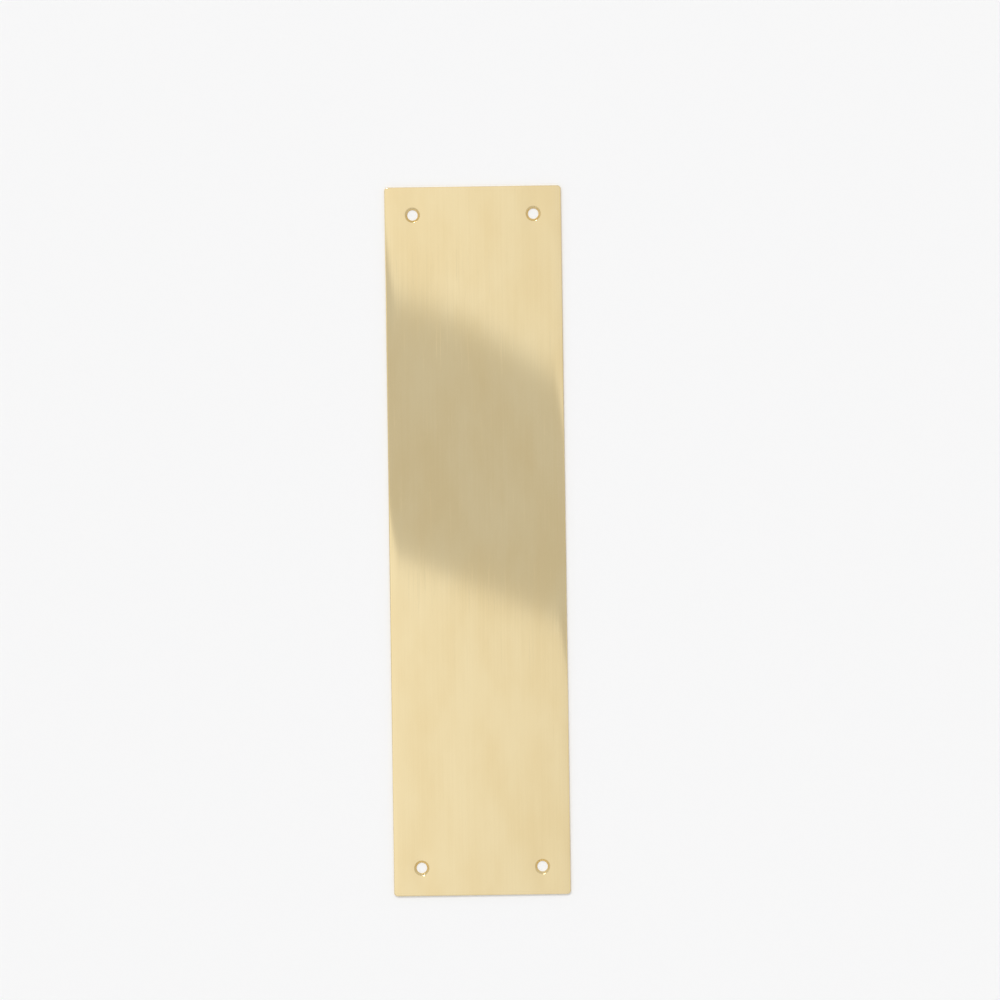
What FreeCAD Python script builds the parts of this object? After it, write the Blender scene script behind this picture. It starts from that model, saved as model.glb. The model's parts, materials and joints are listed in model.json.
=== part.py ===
# Door finger plate: one flat rectangle of polished brass sheet, fixed to a door by four
# countersunk holes, one near each corner.
#
# Frame: the origin is the middle of the back face, which lies on the door. +Z points out of the
# polished face, +Y runs along the length and +X across the width. Sizes are in millimetres.

import FreeCAD, Part
import math
import os

# Sheet
plate_length = 305.0
plate_width = 76.0
sheet_thickness = 1.2
corner_radius = 1.5

# Edges: the buffing wheel rolls the front one over, and the back one is only deburred
front_edge_radius = 0.4
back_edge_break = 0.1

# Fixing holes, measured from the hole's centre to the sheet's edges
hole_from_side = 12.0
hole_from_end = 12.0
hole_diameter = 4.5

# Countersunk seat: cut until a thin straight land is left below it, then softened by the buffing
seat_angle = 90.0
seat_land = 0.2
seat_rim_radius = 0.25

# How far a cutter stands out of the sheet, and how close counts as lying in a plane
cutter_overrun = 1.0
in_plane = 0.001

up = FreeCAD.Vector(0, 0, 1)


def sheet_outline():
    """Closed outline of the blank in the back plane: four quarter circles joined by straight sides."""
    across = plate_width / 2 - corner_radius
    along = plate_length / 2 - corner_radius
    centres = [(across, along), (-across, along), (-across, -along), (across, -along)]
    corners = []
    for quarter, (x, y) in enumerate(centres):
        centre = FreeCAD.Vector(x, y, 0)
        corners.append(Part.makeCircle(corner_radius, centre, up, 90 * quarter, 90 * quarter + 90))
    outline = []
    for corner, following in zip(corners, corners[1:] + corners[:1]):
        leaves = corner.valueAt(corner.LastParameter)
        arrives = following.valueAt(following.FirstParameter)
        outline += [corner, Part.makeLine(leaves, arrives)]
    return Part.Wire(outline)


def hole_centres():
    """The four corners of the fixing pattern, in the back plane."""
    across = plate_width / 2 - hole_from_side
    along = plate_length / 2 - hole_from_end
    return [FreeCAD.Vector(x, y, 0) for x in (-across, across) for y in (-along, along)]


def seat_cutter():
    """What one hole takes away, turned about its axis: a straight hole, the cone, and room above."""
    hole_radius = hole_diameter / 2
    spread = math.tan(math.radians(seat_angle / 2))
    cutter_top = sheet_thickness + cutter_overrun
    mouth_radius = hole_radius + (cutter_top - seat_land) * spread
    profile = [
        (0, -cutter_overrun),
        (hole_radius, -cutter_overrun),
        (hole_radius, seat_land),
        (mouth_radius, cutter_top),
        (0, cutter_top),
    ]
    points = [FreeCAD.Vector(radius, 0, height) for radius, height in profile]
    half_section = Part.Face(Part.makePolygon(points + points[:1]))
    return half_section.revolve(FreeCAD.Vector(0, 0, 0), up, 360)


def edges_at(solid, height):
    """The edges that lie in the level plane at this height."""
    found = []
    for edge in solid.Edges:
        box = edge.BoundBox
        if abs(box.ZMin - height) < in_plane and abs(box.ZMax - height) < in_plane:
            found.append(edge)
    return found


def finger_plate():
    """The finished plate: blank, holes with their seats, then the softened edges."""
    plate = Part.Face(sheet_outline()).extrude(up * sheet_thickness)
    cutter = seat_cutter()
    for centre in hole_centres():
        plate = plate.cut(cutter.translated(centre))

    rims = [edge for edge in edges_at(plate, sheet_thickness) if edge.isClosed()]
    plate = plate.makeFillet(seat_rim_radius, rims)
    front_outline = [edge for edge in edges_at(plate, sheet_thickness) if not edge.isClosed()]
    plate = plate.makeFillet(front_edge_radius, front_outline)
    back_outline = [edge for edge in edges_at(plate, 0) if not edge.isClosed()]
    return plate.makeChamfer(back_edge_break, back_outline)


os.makedirs("parts", exist_ok=True)
finished = finger_plate()
finished.exportStep("parts/finger_plate.step")

box = finished.optimalBoundingBox()
print(f"finger_plate: {len(finished.Solids)} solid, valid {finished.isValid()}")
print(f"box {box.XLength:.2f} x {box.YLength:.2f} x {box.ZLength:.2f} mm, volume {finished.Volume:.1f} mm3")
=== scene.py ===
# %% [markdown]
# # A polished brass finger plate
#
# A finger plate is a strip of brass sheet that keeps hands off a door's paint. It is about the
# plainest thing in the ironmonger's shop, so all of its charm is in the finish: a face buffed to a
# mirror, edges rolled over by the mop, four countersunk fixing holes, and a back that nobody
# bothered to polish.
#
# The lesson builds each of those as a surface of its own, then gives each one its own finish.

# %% Load the frame
import json
import math

import bpy
import numpy as np
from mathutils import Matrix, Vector


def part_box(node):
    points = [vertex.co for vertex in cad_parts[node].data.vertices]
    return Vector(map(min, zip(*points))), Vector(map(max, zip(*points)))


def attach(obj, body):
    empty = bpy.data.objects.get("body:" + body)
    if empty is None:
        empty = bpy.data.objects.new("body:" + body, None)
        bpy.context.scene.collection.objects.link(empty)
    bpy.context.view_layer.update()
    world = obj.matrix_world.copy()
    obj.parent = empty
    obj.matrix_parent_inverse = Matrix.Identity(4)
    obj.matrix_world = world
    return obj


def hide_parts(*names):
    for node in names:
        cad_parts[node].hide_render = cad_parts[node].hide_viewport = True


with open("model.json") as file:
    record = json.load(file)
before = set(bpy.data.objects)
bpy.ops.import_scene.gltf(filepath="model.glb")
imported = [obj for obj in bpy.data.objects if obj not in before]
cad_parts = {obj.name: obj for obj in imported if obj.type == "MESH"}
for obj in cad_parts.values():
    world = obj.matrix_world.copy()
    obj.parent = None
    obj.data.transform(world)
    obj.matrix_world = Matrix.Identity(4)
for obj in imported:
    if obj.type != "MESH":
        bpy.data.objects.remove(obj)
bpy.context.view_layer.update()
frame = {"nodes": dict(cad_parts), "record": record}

MM = 0.001
print("nodes:", sorted(frame["nodes"]))

# %% [markdown]
# ## Sizes
#
# The big sizes come from the frame: the plate's box, and the fixing pattern that the record
# states for whoever drills the door. Only the small radii that the box can't tell are written
# here. Everything is in metres, because Blender is.

# %% Measure the plate
low, high = (np.array(corner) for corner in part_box("finger_plate"))
half_width, half_length = high[0], high[1]
thickness = high[2] - low[2]

pattern = next(mount for mount in frame["record"]["mounts"] if mount["kind"] == "bolt_pattern")["dims"]
hole_x = pattern["spacing_x_mm"] / 2 * MM
hole_y = pattern["spacing_y_mm"] / 2 * MM
hole_radius = pattern["hole_r_mm"] * MM
hole_centres = [np.array([x, y]) for x in (-hole_x, hole_x) for y in (-hole_y, hole_y)]

corner_radius = 1.5 * MM
front_radius = 0.4 * MM       # the front edge, rolled over by the mop
back_break = 0.1 * MM         # the back edge, deburred
seat_land = 0.2 * MM          # straight wall left below each countersink
rim_radius = 0.25 * MM        # the countersink's rim, softened with the face
print(f"plate {2 * half_width / MM:.0f} x {2 * half_length / MM:.0f} x {thickness / MM:.1f} mm,",
      f"holes {hole_x / MM:.1f} mm across and {hole_y / MM:.1f} mm along from the middle")

# %% [markdown]
# ## A shell made of grids
#
# A mirror shows every fault in its mesh. If the flat face and its rounded edge share averaged
# normals, the last row of the flat face looks bent. So each surface here is a grid of points with
# a grid of true normals beside it, worked out from the same formula. The grids are then stitched:
# points that coincide become one vertex, while every face corner keeps its own normal.

# %% A class that stitches grids
STITCH = 0.001 * MM


class Shell:
    """A closed mesh gathered from grids of points. Neighbouring points of a grid make its quads."""

    def __init__(self):
        self.points, self.normals, self.quads, self.finishes = [], [], [], []
        self.count = 0

    def add(self, points, normals, finish, keep=None):
        """Takes a (rows, columns, 3) grid and its normals. keep is the mask of the quads wanted."""
        rows, columns = points.shape[:2]
        index = np.arange(rows * columns).reshape(rows, columns) + self.count
        quads = np.stack([index[:-1, :-1], index[:-1, 1:], index[1:, 1:], index[1:, :-1]], -1)
        quads = quads.reshape(-1, 4) if keep is None else quads[keep]
        self.points.append(points.reshape(-1, 3))
        self.normals.append(np.broadcast_to(normals, points.shape).reshape(-1, 3))
        self.quads.append(quads)
        self.finishes.append(np.full(len(quads), finish))
        self.count += rows * columns

    def stitched(self):
        """All grids as one: points, normals and quads, each vertex's first point, each point's vertex.

        Points share a vertex where their places, rounded to a STITCH, are the same. A quad whose
        cross product of diagonals points against its normals is turned over.
        """
        points, normals, quads = map(np.concatenate, (self.points, self.normals, self.quads))
        used, quads = np.unique(quads, return_inverse=True)
        points, normals, quads = points[used], normals[used], quads.reshape(-1, 4)
        snapped = np.round(points / STITCH).astype(np.int64)
        first, vertex = np.unique(snapped, axis=0, return_index=True, return_inverse=True)[1:]
        a, b, c, d = (points[quads[:, k]] for k in range(4))
        facing = np.cross(c - a, d - b)
        wrong = (facing * normals[quads].sum(1)).sum(1) < 0
        quads[wrong] = quads[wrong, ::-1]
        return points, normals, quads, first, vertex.reshape(-1)

    def mesh(self, name, shape):
        """The mesh, once shape(points, normals) has given both their last touch."""
        points, normals, quads, first, vertex = self.stitched()
        points, normals = shape(points, normals)

        # A corner that lies on the one before it is dropped: a pinched quad becomes a triangle.
        shared = vertex[quads]
        corners = shared != np.roll(shared, 1, axis=1)
        sides = corners.sum(1)
        face = sides > 2
        quads, shared, corners, sides = quads[face], shared[face], corners[face], sides[face]

        made = bpy.data.meshes.new(name)
        made.vertices.add(len(first))
        made.vertices.foreach_set("co", points[first].astype(np.float32).ravel())
        made.loops.add(int(sides.sum()))
        made.loops.foreach_set("vertex_index", shared[corners].astype(np.int32))
        made.polygons.add(len(sides))
        made.polygons.foreach_set("loop_start", (np.cumsum(sides) - sides).astype(np.int32))
        made.polygons.foreach_set("material_index", np.concatenate(self.finishes)[face].astype(np.int32))
        made.polygons.foreach_set("use_smooth", np.ones(len(sides), bool))
        made.update(calc_edges=True)
        made.normals_split_custom_set(normals[quads[corners]])
        return made


# %% Start the plate's shell
shell = Shell()
FRONT, EDGE, SEAT, BACK = range(4)    # the finishes, in the order in which they get their materials
print(f"places are rounded to {STITCH / MM:.3f} mm to find the points that meet")

# %% [markdown]
# ## Ruled lines that know about the holes
#
# A rectangle with round holes is awkward for a grid, so the face is ruled in two ways. Most of it
# is plain cells. Round each hole a square window is left out and filled with rings, which start as
# the hole's circle and end as the window's frame. The lines are set out so that one falls on every
# side of every window, and so the two kinds of grid meet point for point.

# %% Rule the lines
window = 7.5 * MM             # from a hole's centre to the side of its window
window_cells = 20
margin_cells = 6
widest_cell = 1.6 * MM


def ruled_lines(reach, hole):
    """Lines from -reach to reach: close over the margins and the windows, wider in between."""
    breaks = [-reach, -hole - window, -hole + window, hole - window, hole + window, reach]
    middle_cells = math.ceil((breaks[3] - breaks[2]) / widest_cell)
    cells = [margin_cells, window_cells, middle_cells, window_cells, margin_cells]
    stretches = zip(breaks, breaks[1:], cells)
    lines = [np.linspace(start, stop, count, endpoint=False) for start, stop, count in stretches]
    return np.append(np.concatenate(lines), reach)


flat_x = ruled_lines(half_width - corner_radius, hole_x)
flat_y = ruled_lines(half_length - corner_radius, hole_y)
print(f"ruled {len(flat_x)} lines by {len(flat_y)}")


# %% Frame the windows
def round_box(xs, ys):
    """The four sides of the box that these lines span, anticlockwise from its lower left corner."""
    bottom = np.stack([xs, np.full_like(xs, ys[0])], 1)
    right = np.stack([np.full_like(ys, xs[-1]), ys], 1)
    top = np.stack([xs[::-1], np.full_like(xs, ys[-1])], 1)
    left = np.stack([np.full_like(ys, xs[0]), ys[::-1]], 1)
    return bottom, right, top, left


def window_frame(centre):
    """A window's outline as one closed row of points."""
    xs = flat_x[np.abs(flat_x - centre[0]) < window + STITCH]
    ys = flat_y[np.abs(flat_y - centre[1]) < window + STITCH]
    bottom, right, top, left = round_box(xs, ys)
    return np.concatenate([bottom[:-1], right[:-1], top[:-1], left])


# A window's outline starts at its lower left corner, so a hole's circle starts towards it too.
window_points = len(window_frame(hole_centres[0]))
angle = np.radians(-135) + np.linspace(0, 2 * np.pi, window_points)
hole_turn = np.stack([np.cos(angle), np.sin(angle)], 1)
print(f"each hole's circle has {window_points - 1} points, one for each point of its window")

# %% [markdown]
# ## The flat of the sheet
#
# The face and the back are the same figure at two heights, but for the size of the holes. Rings
# lie closest at the rim, because that is where the face starts to fall away.

# %% Lay the two flats
window_rings = 14
ring_crowding = 1.6           # 1 would space the rings evenly


def lay_flat(height, rim, up, finish):
    """The level sheet between the holes and the edge. In a window: circle + (frame - circle) * share."""
    grid_x, grid_y = np.meshgrid(flat_x, flat_y)
    middle_x, middle_y = (flat_x[1:] + flat_x[:-1]) / 2, (flat_y[1:] + flat_y[:-1]) / 2
    beside, beyond = np.meshgrid(np.abs(np.abs(middle_x) - hole_x), np.abs(np.abs(middle_y) - hole_y))
    outside = (beside > window) | (beyond > window)
    normal = np.array([0.0, 0.0, up])
    shell.add(np.stack([grid_x, grid_y, np.full_like(grid_x, height)], -1), normal, finish, outside)

    share = np.linspace(0, 1, window_rings + 1)[:, None, None] ** ring_crowding
    for centre in hole_centres:
        circle = centre + rim * hole_turn
        rings = circle + (window_frame(centre) - circle) * share
        shell.add(np.concatenate([rings, np.full_like(rings[..., :1], height)], -1), normal, finish)


# The cone's wall stands at 45 degrees, so it widens by as much as it rises. The rim's arc leaves it
# at that slope and ends level with the face. It starts and ends the same distance from the sharp
# corner that it replaces.
sharp_rim = hole_radius + thickness - seat_land
rim_run = rim_radius * math.tan(math.radians(45) / 2)
rim_outer = sharp_rim + rim_run
lay_flat(thickness, rim_outer, 1, FRONT)
lay_flat(0, hole_radius, -1, BACK)
print(f"countersinks open to {2 * sharp_rim / MM:.1f} mm, and their rims to {2 * rim_outer / MM:.1f} mm")

# %% [markdown]
# ## Profiles
#
# The edge and the countersunk seats are both profiles: a short line of points, each with the
# direction that it faces. The edge's profile is carried round the outline, and a seat's is turned
# about its hole. Where a profile has a sharp corner it holds that point twice, facing two ways.

# %% Draw the two profiles
def arc(centre, radius, start, stop, steps):
    """Points and directions of an arc: centre + radius * (cos, sin), in degrees from outwards to up."""
    turn = np.radians(np.linspace(start, stop, steps + 1))
    facing = np.stack([np.cos(turn), np.sin(turn)], 1)
    return np.array(centre) + radius * facing, facing


def line(start, stop, facing, steps):
    """Points of a straight stretch, start + (stop - start) * share, which all face one way."""
    share = np.linspace(0, 1, steps + 1)[:, None]
    points = np.array(start) + (np.array(stop) - np.array(start)) * share
    return points, np.broadcast_to(np.array(facing) / math.hypot(*facing), points.shape)


# Each point is (how far outwards, how high).
roll_starts, wall_top = corner_radius - front_radius, thickness - front_radius
wall_foot = corner_radius - back_break
edge_profile = [
    (FRONT, line((0, thickness), (roll_starts, thickness), facing=(0, 1), steps=4)),
    (FRONT, arc((roll_starts, wall_top), front_radius, start=90, stop=0, steps=12)),
    (EDGE, line((corner_radius, wall_top), (corner_radius, back_break), facing=(1, 0), steps=4)),
    (EDGE, line((corner_radius, back_break), (wall_foot, 0), facing=(1, -1), steps=2)),
    (BACK, line((wall_foot, 0), (0, 0), facing=(0, -1), steps=4)),
]
cone_top = (sharp_rim - rim_run / math.sqrt(2), thickness - rim_run / math.sqrt(2))
seat_profile = [
    (SEAT, line((hole_radius, 0), (hole_radius, seat_land), facing=(-1, 0), steps=2)),
    (SEAT, line((hole_radius, seat_land), cone_top, facing=(-1, 1), steps=8)),
    (FRONT, arc((rim_outer, thickness - rim_radius), rim_radius, start=135, stop=90, steps=6)),
]
print(f"the edge's profile has {len(edge_profile)} stretches, a seat's has {len(seat_profile)}")

# %% [markdown]
# ## Round the edge, and round the holes
#
# A rectangle with rounded corners is an inner rectangle grown by the corner's radius. So a point
# of the edge's profile goes to its place on the inner rectangle, plus its outward distance times
# the outline's outward direction there. At a corner the place stands still while the direction
# turns, which pinches the first quads to triangles. A seat is the same thing with one place, the
# hole's centre, and a direction that turns once round.

# %% Carry the profiles
corner_steps = 10


def outline_path():
    """Places on the inner rectangle and outward directions, once round and closed."""
    places, angles = [], []
    for quarter, side in enumerate(round_box(flat_x, flat_y)):
        faces = 90 * (quarter - 1)
        turning = np.linspace(faces, faces + 90, corner_steps + 1)[1:-1]
        places += [side, np.repeat(side[-1:], len(turning), 0)]
        angles += [np.full(len(side), faces), turning]
    places, angles = np.concatenate(places), np.radians(np.concatenate(angles))
    outward = np.stack([np.cos(angles), np.sin(angles)], 1)
    return np.append(places, places[:1], 0), np.append(outward, outward[:1], 0)


def carry(profile, places, outward):
    """Carries a profile along a path: place + outward * distance, at the profile's own height."""
    for finish, (points, facing) in profile:
        flat = places + outward * points[:, None, :1]
        height = np.broadcast_to(points[:, None, 1:], (*flat.shape[:2], 1))
        aside = outward * facing[:, None, :1]
        upward = np.broadcast_to(facing[:, None, 1:], (*flat.shape[:2], 1))
        shell.add(np.concatenate([flat, height], -1), np.concatenate([aside, upward], -1), finish)


carry(edge_profile, *outline_path())
for centre in hole_centres:
    carry(seat_profile, centre, hole_turn)
print(f"{shell.count} grid points before stitching")

# %% [markdown]
# ## What the mop does to a flat sheet
#
# A buffed face is never quite flat. The cloth wheel dwells and lifts, which leaves long low hills.
# It falls off the edges, which dubs their last few millimetres. And it dips into each hole and
# drags on the way out, which leaves a shallow hollow drawn out along the plate. These are
# hundredths of a millimetre, but a mirror shows them as a gentle wander in what it reflects.
#
# Together they are one height field over the face. The hills come first: a few waves, whose length,
# heading and start are drawn at random from a fixed seed.

# %% Roll out the hills
hill_height = 0.05 * MM
hill_count = 7
hill_pitches = (45, 110)      # millimetres from crest to crest
hill_headings = (-60, 60)     # degrees from straight across the plate
hill_seed = 305

rng = np.random.default_rng(hill_seed)
hill_pitch = rng.uniform(*hill_pitches, hill_count) * MM
hill_heading = np.radians(rng.uniform(*hill_headings, hill_count))
hill_start = rng.uniform(0, 2 * np.pi, hill_count)


def hills(x, y):
    """A few long waves averaged, each a sine of the distance along its own heading."""
    travel = x[..., None] * np.cos(hill_heading) + y[..., None] * np.sin(hill_heading)
    return np.sin(2 * np.pi * travel / hill_pitch + hill_start).mean(-1)


survey_columns, survey_rows = 200, 800
every_x = np.linspace(-half_width, half_width, survey_columns)
every_y = np.linspace(-half_length, half_length, survey_rows)
all_hills = hills(*np.meshgrid(every_x, every_y))
lowest_hill, highest_hill = all_hills.min(), all_hills.max()
print(f"{hill_count} waves of {hill_pitch.min() / MM:.0f} to {hill_pitch.max() / MM:.0f} mm")

# %% Add up what the mop takes off
dub_depth, dub_reach = 0.04 * MM, 5.0 * MM
drag_depth, drag_across, drag_along = 0.035 * MM, 3.4 * MM, 8.0 * MM


def taken_off(x, y):
    """How much the mop took off, in metres: between the hills + dubbed edges + drag at the holes."""
    between = hill_height * (highest_hill - hills(x, y)) / (highest_hill - lowest_hill)
    to_side = np.maximum(1 - (half_width - np.abs(x)) / dub_reach, 0)
    to_end = np.maximum(1 - (half_length - np.abs(y)) / dub_reach, 0)
    dubbed = dub_depth * (to_side**3 + to_end**3)
    across, along = (np.abs(x) - hole_x) / drag_across, (np.abs(y) - hole_y) / drag_along
    return between + dubbed + drag_depth * np.exp(-(across**2) - along**2)


print(f"the mop takes off up to {taken_off(*np.meshgrid(every_x, every_y)).max() / MM:.3f} mm")

# %% [markdown]
# ## Buff the plate
#
# The heights are taken off the face, and less and less towards the back, which stays flat. So the
# plate never grows, and nothing below the face needs a shape of its own. The normals turn by the
# slopes, measured a small step to each side, because a mirror shows a slope before a height.

# %% Make the plate
slope_step = 0.05 * MM


def buffed(points, normals):
    """The shape after buffing: height * (1 - taken / thickness), with the normals turned to suit."""
    x, y, z = points.T
    taken = taken_off(x, y)
    slope_x = (taken_off(x + slope_step, y) - taken_off(x - slope_step, y)) / (2 * slope_step)
    slope_y = (taken_off(x, y + slope_step) - taken_off(x, y - slope_step)) / (2 * slope_step)
    share = z / thickness

    # A normal leans with the slope, and what squeezes the height stands it a little straighter.
    lean = np.stack([slope_x * share, slope_y * share, taken / thickness], 1)
    turned = normals + lean * normals[:, 2:]
    moved = np.stack([x, y, z * (1 - taken / thickness)], 1)
    return moved, turned / np.linalg.norm(turned, axis=1, keepdims=True)


plate = bpy.data.objects.new("brass_plate", shell.mesh("brass_plate", buffed))
bpy.context.scene.collection.objects.link(plate)
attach(plate, "root")
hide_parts("finger_plate")
print(f"plate: {len(plate.data.vertices)} vertices, {len(plate.data.polygons)} faces")

# %% [markdown]
# ## Shader sums in Python
#
# A material is a sum with a picture as its answer. Drawn as nodes, even a short sum becomes a
# tangle, so here a socket is wrapped in a class that knows Python's operators. Writing
# `0.04 + 0.03 * lines` then adds the Math nodes, and one method makes every other kind of node.

# %% A class for shader sums
class Wire:
    """One socket's value. Arithmetic on it adds Math nodes to the tree that it belongs to."""

    def __init__(self, socket):
        self.socket = socket

    @classmethod
    def of(cls, tree, kind, settings=None, sockets=None, output=0):
        """A new node's output, if it has one. Settings come first, then sockets' values or links."""
        node = tree.nodes.new(kind)
        for name, value in (settings or {}).items():
            if name == "stops":
                node.color_ramp.interpolation = "CARDINAL"    # a smooth curve through the stops
                ramp = node.color_ramp.elements
                while len(ramp) < len(value):
                    ramp.new(1.0)
                for stop, (position, grey) in zip(ramp, value):
                    stop.position, stop.color = position, (grey, grey, grey, 1)
            else:
                setattr(node, name, value)
        for name, value in (sockets or {}).items():
            if isinstance(value, Wire):
                tree.links.new(value.socket, node.inputs[name])
            else:
                node.inputs[name].default_value = value
        return cls(node.outputs[output]) if node.outputs else None

    @property
    def tree(self):
        return self.socket.id_data

    def math(self, operation, *values):
        """A Math node. Its inputs all have one name, so they are told apart by number."""
        return Wire.of(self.tree, "ShaderNodeMath", {"operation": operation}, dict(enumerate(values)))

    def __add__(self, other):
        return self.math("ADD", self, other)

    def __sub__(self, other):
        return self.math("SUBTRACT", self, other)

    def __rsub__(self, other):
        return self.math("SUBTRACT", other, self)

    def __mul__(self, other):
        return self.math("MULTIPLY", self, other)

    def __truediv__(self, other):
        return self.math("DIVIDE", self, other)

    def __pow__(self, other):
        return self.math("POWER", self, other)

    def __abs__(self):
        return self.math("ABSOLUTE", self)

    __radd__, __rmul__ = __add__, __mul__

    def rise(self, low, high):
        """0 up to low, 1 from high on, and a smooth rise between them."""
        settings = {"interpolation_type": "SMOOTHSTEP"}
        sockets = {"Value": self, "From Min": low, "From Max": high}
        return Wire.of(self.tree, "ShaderNodeMapRange", settings, sockets)

    def mix(self, start, end):
        """The colour start where this is 0, and the colour end where it is 1."""
        # A Mix node lists its sockets for numbers and vectors first, so its colours come after.
        sockets = {0: self, 6: start, 7: end}
        return Wire.of(self.tree, "ShaderNodeMix", {"data_type": "RGBA"}, sockets, output=2)

    def parts(self):
        """The three numbers of a vector."""
        return [Wire.of(self.tree, "ShaderNodeSeparateXYZ", {}, {0: self}, axis) for axis in range(3)]

    def grain(self, size, detail=2.0):
        """Noise at this place, 0 to 1, in blobs of about this size: (x, y, z) in metres."""
        cells = Wire.of(self.tree, "ShaderNodeVectorMath", {"operation": "DIVIDE"}, {0: self, 1: size})
        return Wire.of(self.tree, "ShaderNodeTexNoise", {}, {"Vector": cells, "Scale": 1, "Detail": detail})


# %% [markdown]
# ## What the four finishes share
#
# All four are brass, so each starts and ends the same way. The start is an empty material and the
# place on the plate, which every pattern is worked out from. The end is one metal shader, which
# takes a colour, a roughness and a height. Its bump is for lines too fine for the mesh.
#
# A pattern is noise, stretched along the plate or round it. Where it should go straight through
# the metal and stay the same, it is stretched without end.

# %% Start and end a finish
ENDLESS = 1.0                               # metres: so long that a pattern doesn't change that way
GLANCING_TINT = (0.996, 0.957, 0.820, 1)    # brass keeps a little of its colour even edge on


def start_finish(name):
    """An empty material in the plate's next slot, and the place on the plate as a wire."""
    material = bpy.data.materials.new(name)
    material.use_nodes = True
    material.node_tree.nodes.clear()
    plate.data.materials.append(material)
    return Wire.of(material.node_tree, "ShaderNodeTexCoord", output="Object")


def end_finish(colour, roughness, height, relief):
    """Joins up a brass shader. The height, 0 to 1, stands for a relief of this many metres."""
    tree = colour.tree
    bump = Wire.of(tree, "ShaderNodeBump", {}, {"Distance": relief, "Height": height})
    brass = {"Base Color": colour, "Metallic": 1.0, "Roughness": roughness, "Normal": bump}
    shader = Wire.of(tree, "ShaderNodeBsdfPrincipled", {}, {**brass, "Specular Tint": GLANCING_TINT})
    Wire.of(tree, "ShaderNodeOutputMaterial", {}, {"Surface": shader})
    print(f"{plate.data.materials[-1].name}: {len(tree.nodes)} nodes")


# %% [markdown]
# ## Finish 1: the buffed face
#
# Common brass is about two parts copper to one of zinc, and polished it gives back most of the
# red, a little less of the green and half of the blue. What tells a real buffed face from a
# yellow mirror is faint: marks of the mop that run the length of the plate, finer lines within
# them, a few stray hairlines, and slow patches where the polish is a shade hazier.

# %% Polish the face
where = start_finish("buffed_face")
mop_marks = where.grain((0.6 * MM, 80 * MM, ENDLESS))
fine_lines = where.grain((0.14 * MM, 18 * MM, ENDLESS))
haze = where.grain((20 * MM, 48 * MM, ENDLESS), detail=3)
hairline_peaks = (0.74, 0.82)    # noise gets this high in a few places only
hairlines = where.grain((0.22 * MM, 34 * MM, ENDLESS), detail=0).rise(*hairline_peaks)
most_noise = (0.3, 0.7)          # noise seldom leaves this range
# The mop marks and hazy patches also swing the colour between a paler and a deeper brass. That swing is
# painted sheen: the metal itself reflects evenly, and the swing stands in for the light that the marks and
# the haze scatter. Their real relief and haze are in the height and roughness.
painted_sheen = 0.2 * mop_marks.rise(*most_noise) + 0.8 * haze.rise(*most_noise)
end_finish(
    colour=painted_sheen.mix((0.915, 0.760, 0.455, 1), (0.875, 0.702, 0.392, 1)),
    roughness=0.03 + 0.02 * mop_marks + 0.02 * haze + 0.08 * hairlines,
    height=mop_marks + 0.25 * fine_lines - 0.5 * hairlines,
    relief=0.0015 * MM,
)

# %% [markdown]
# ## Finish 2: the cut edge
#
# The guillotine leaves the edge rough, so it is dressed on a belt before the face is buffed. Fine
# lines run round the plate, side by side up the 0.7 mm of wall. Noise squeezed into thin level
# layers makes them on all four sides at once.

# %% Dress the edge
where = start_finish("dressed_edge")
belt_lines = where.grain((7 * MM, 7 * MM, 0.045 * MM), detail=3)
end_finish(
    colour=belt_lines.mix((0.885, 0.720, 0.405, 1), (0.80, 0.625, 0.325, 1)),
    roughness=0.16 + 0.16 * belt_lines,
    height=belt_lines,
    relief=0.004 * MM,
)

# %% [markdown]
# ## Finish 3: the countersunk seats
#
# A countersink turns, so its marks are rings. Measured from the nearest hole's axis, the radius
# alone draws them. The four holes mirror each other, so the sizes of x and y, less the hole's
# place, give the way from the axis to any seat's surface with one sum.

# %% Turn the seats
where = start_finish("turned_seat")
x, y, z = where.parts()
radius = ((abs(x) - hole_x) ** 2 + (abs(y) - hole_y) ** 2) ** 0.5
across_rings = Wire.of(where.tree, "ShaderNodeCombineXYZ", {}, {"X": radius, "Z": z})
rings = across_rings.grain((0.11 * MM, ENDLESS, 0.11 * MM), detail=3)
end_finish(
    colour=rings.mix((0.895, 0.730, 0.41, 1), (0.81, 0.635, 0.33, 1)),
    roughness=0.14 + 0.14 * rings,
    height=rings,
    relief=0.008 * MM,
)

# %% [markdown]
# ## Finish 4: the back
#
# The back is as the sheet came from the mill: lines from the rolls along the plate, dull patches,
# and a deeper colour, because nothing has cut through the skin that the annealing oven left.

# %% Leave the back as rolled
where = start_finish("rolled_back")
roll_lines = where.grain((0.4 * MM, 55 * MM, ENDLESS), detail=3)
dull_patches = where.grain((16 * MM, 30 * MM, ENDLESS), detail=4)
end_finish(
    colour=(0.7 * dull_patches + 0.3 * roll_lines).mix((0.85, 0.67, 0.37, 1), (0.71, 0.525, 0.27, 1)),
    roughness=0.24 + 0.10 * roll_lines + 0.16 * dull_patches,
    height=roll_lines,
    relief=0.006 * MM,
)

# %% [markdown]
# ## Somewhere to lie
#
# The plate lies on its back on a pale board. The board is wide enough to reach the horizon in a
# low view, and a hair below the plate, so that the two surfaces don't fight for the same pixels.

# %% Put down the board
board_reach = 60.0
board_gap = 0.01 * MM
board_colour = (0.95, 0.95, 0.952, 1)

board_mesh = bpy.data.meshes.new("board")
quarters = [(-1, -1), (1, -1), (1, 1), (-1, 1)]
corners = [(board_reach * x, board_reach * y, -board_gap) for x, y in quarters]
board_mesh.from_pydata(corners, [], [(0, 1, 2, 3)])
board = bpy.data.objects.new("board", board_mesh)
bpy.context.scene.collection.objects.link(board)

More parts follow.
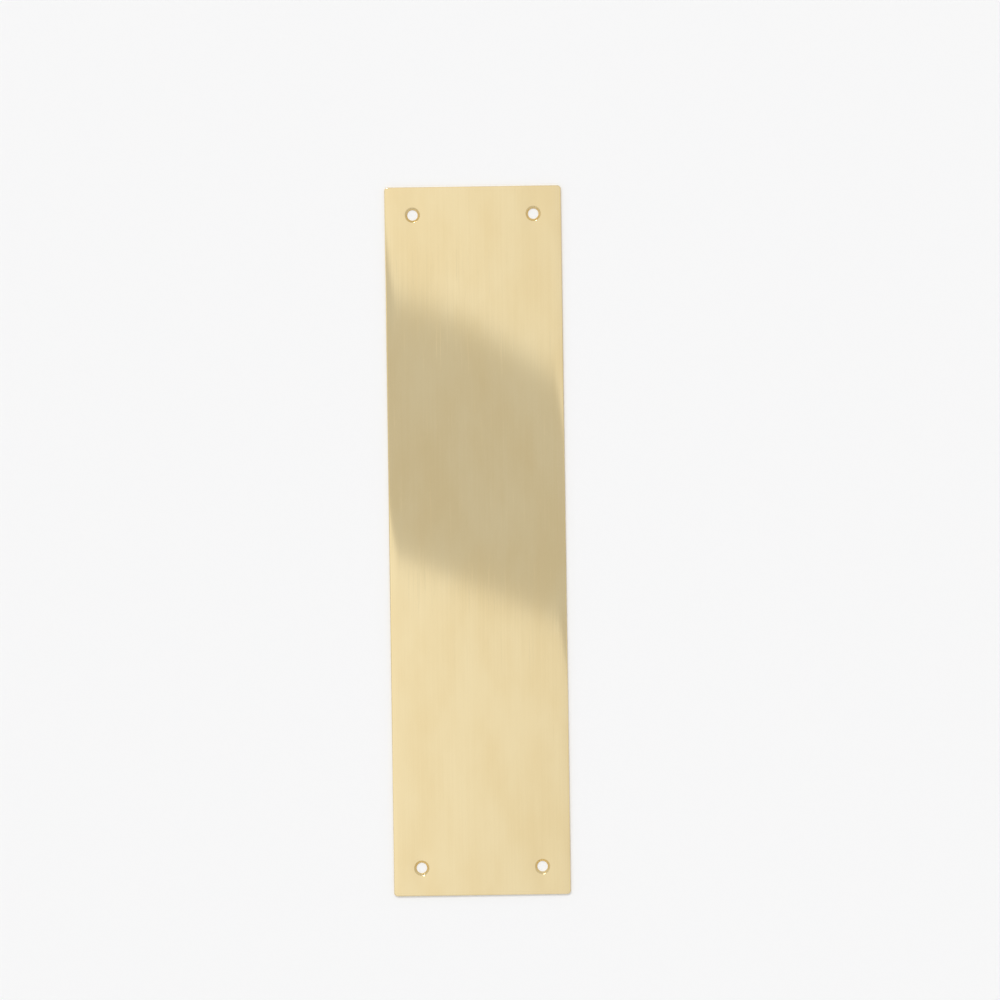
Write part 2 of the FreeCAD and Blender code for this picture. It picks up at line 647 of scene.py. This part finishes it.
paint = bpy.data.materials.new("board_paint")
paint.use_nodes = True
paint.node_tree.nodes.clear()
matt = {"Base Color": board_colour, "Roughness": 0.8, "Specular IOR Level": 0.15}
shader = Wire.of(paint.node_tree, "ShaderNodeBsdfPrincipled", {}, matt)
Wire.of(paint.node_tree, "ShaderNodeOutputMaterial", {}, {"Surface": shader})
board_mesh.materials.append(paint)
print(f"board: {2 * board_reach:.0f} m square, {board_gap / MM:.2f} mm below the plate")

# %% [markdown]
# ## Light for a mirror
#
# A mirror has no look of its own. It shows its surroundings, so for polished brass the studio is
# the material. The usual answer is a light tent of white cloth. A tent with one even tone makes
# brass look like painted card, so this one has edges of light for the plate to show, wherever it
# is seen from: the walls hang in folds, each of them bright at one side and fading across, and two
# lamps lie on the roof with a strip of dimmer cloth between them.
#
# The tent is the world. A direction's height picks a tone for the walls, its heading tells how far
# across a fold it points, and the place where it meets the roof tells if there is a lamp.

# %% Hang the walls
world = bpy.data.worlds.new("tent")
bpy.context.scene.world = world
world.use_nodes = True
world.node_tree.nodes.clear()

# In a world this coordinate is a direction one unit long, so its last part is its height's sine.
east, north, up = Wire.of(world.node_tree, "ShaderNodeTexCoord", output="Generated").parts()

# Each stop is (the sine of the height, the tone). The leans make the tent a little brighter to the
# north and to the west than it is opposite.
wall_tones = [(0.0, 0.93), (0.05, 0.70), (0.14, 0.60), (0.35, 0.50), (0.7, 0.53), (1.0, 0.63)]
north_lean, east_lean = 0.14, -0.21
walls = Wire.of(world.node_tree, "ShaderNodeValToRGB", {"stops": wall_tones}, {"Fac": up})
walls = walls * (1 + up * (north_lean * north + east_lean * east))
print(f"walls: {len(wall_tones)} tones from the board up to the roof")

# %% Hang the folds
# A fold brightens over its edge, which is a share of its width, and fades across the rest. All of
# them fade in above the board and out below the roof, each between two sines of the height.
fold_count, first_fold = 18, 0.825
fold_edge, fold_glow = 0.05, 0.40
above_board, below_roof = (0.13, 0.18), (0.88, 0.96)

heading = north.math("ARCTAN2", north, east)
turn = heading * (-fold_count / (2 * math.pi)) + first_fold
across = turn.math("FRACT", turn)
folds = across.rise(0, fold_edge) * (1 - across.rise(fold_edge, 1))
between_board_and_roof = up.rise(*above_board) * (1 - up.rise(*below_roof))
folds = fold_glow * folds * between_board_and_roof
print(f"{fold_count} folds, each {360 / fold_count:.0f} degrees wide")

# %% [markdown]
# ## The roof's two lamps
#
# Laid flat, the plate faces straight up, so from above it shows the roof and nothing else. Each
# lamp covers all of the roof beyond a line. The lines slant, because a slanting edge of light runs
# a long way over the plate and shows how level it is. They are nearly sharp: a mirror that shows
# only soft edges looks like satin.

# %% Lay the lamps on the roof
# The roof is a plane at height 1, so its places are a direction's east and north, over its height.
# A line is where north = start + slant * east. The light comes up between two distances past it.
near_start, near_slant, near_edge = -0.0345, -0.395, (-0.002, 0.003)
far_start, far_slant, far_edge = 0.0534, -0.50, (-0.004, 0.010)
lamp_glow, lamp_lean = 0.30, -0.9    # at the roof's middle, and how that changes to the east
above_walls = (0.93, 0.97)           # sines of the heights where the roof takes over from the walls

roof_east, roof_north = east / up, north / up
past_near_line = near_start + near_slant * roof_east - roof_north
past_far_line = roof_north - (far_start + far_slant * roof_east)
lamps = past_near_line.rise(*near_edge) + past_far_line.rise(*far_edge)
roof = (lamp_glow + lamp_lean * roof_east) * lamps * up.rise(*above_walls)

white = {"Color": (1, 1, 1, 1), "Strength": walls + folds + roof}
background = Wire.of(world.node_tree, "ShaderNodeBackground", {}, white)
Wire.of(world.node_tree, "ShaderNodeOutputWorld", {}, {"Surface": background})
print(f"tent: {len(world.node_tree.nodes)} nodes")

# %% [markdown]
# ## One lamp outside the tent
#
# The tent alone would leave the plate without a shadow, and the eye judges its thickness by one.
# A sun that stands for a lamp outside gives it that shadow, and puts the small hard sparks on the
# hole rims and the rolled edge that say polished. It stands where the flat of the plate shows it
# in no usual view, because there it would be a glare.

# %% Hang the lamp
lamp_heading, lamp_height = math.radians(109), math.radians(47)
lamp_width = math.radians(14)
lamp_energy = 1.05

lamp_data = bpy.data.lights.new("outer_lamp", "SUN")
lamp_data.energy = lamp_energy
lamp_data.angle = lamp_width
lamp = bpy.data.objects.new("outer_lamp", lamp_data)
lamp.rotation_euler = (math.pi / 2 - lamp_height, 0, lamp_heading + math.pi / 2)
bpy.context.scene.collection.objects.link(lamp)
towards = lamp.rotation_euler.to_matrix() @ Vector((0, 0, 1))
print("towards the lamp:", [round(part, 3) for part in towards])

# %% [markdown]
# ## The camera
#
# The photograph looks straight down. Three things read off it place the camera: where the plate's
# middle falls in the picture, how many pixels a millimetre takes, and how far the plate is turned.
# A long lens stands well back, so the plate's sides hide behind its face, as they do there.

# %% Place the camera
picture_side = 1000                # pixels
plate_middle = (477.5, 540.8)      # pixels from the picture's left and top
pixels_per_metre = 2324.5
plate_turn = math.radians(0.83)

camera_data = bpy.data.cameras.new("camera")
camera_data.lens, camera_data.sensor_width = 100, 36
distance = picture_side / pixels_per_metre * camera_data.lens / camera_data.sensor_width
rightwards = Vector((math.cos(plate_turn), -math.sin(plate_turn), 0))
upwards = Vector((math.sin(plate_turn), math.cos(plate_turn), 0))
aside = (picture_side / 2 - plate_middle[0]) / pixels_per_metre
ahead = (plate_middle[1] - picture_side / 2) / pixels_per_metre

camera = bpy.data.objects.new("camera", camera_data)
camera.location = rightwards * aside + upwards * ahead + Vector((0, 0, thickness + distance))
camera.rotation_euler = (0, 0, -plate_turn)
bpy.context.scene.collection.objects.link(camera)
bpy.context.scene.camera = camera
bpy.context.scene.view_settings.view_transform = "Standard"
print(f"camera {distance:.3f} m above the face")
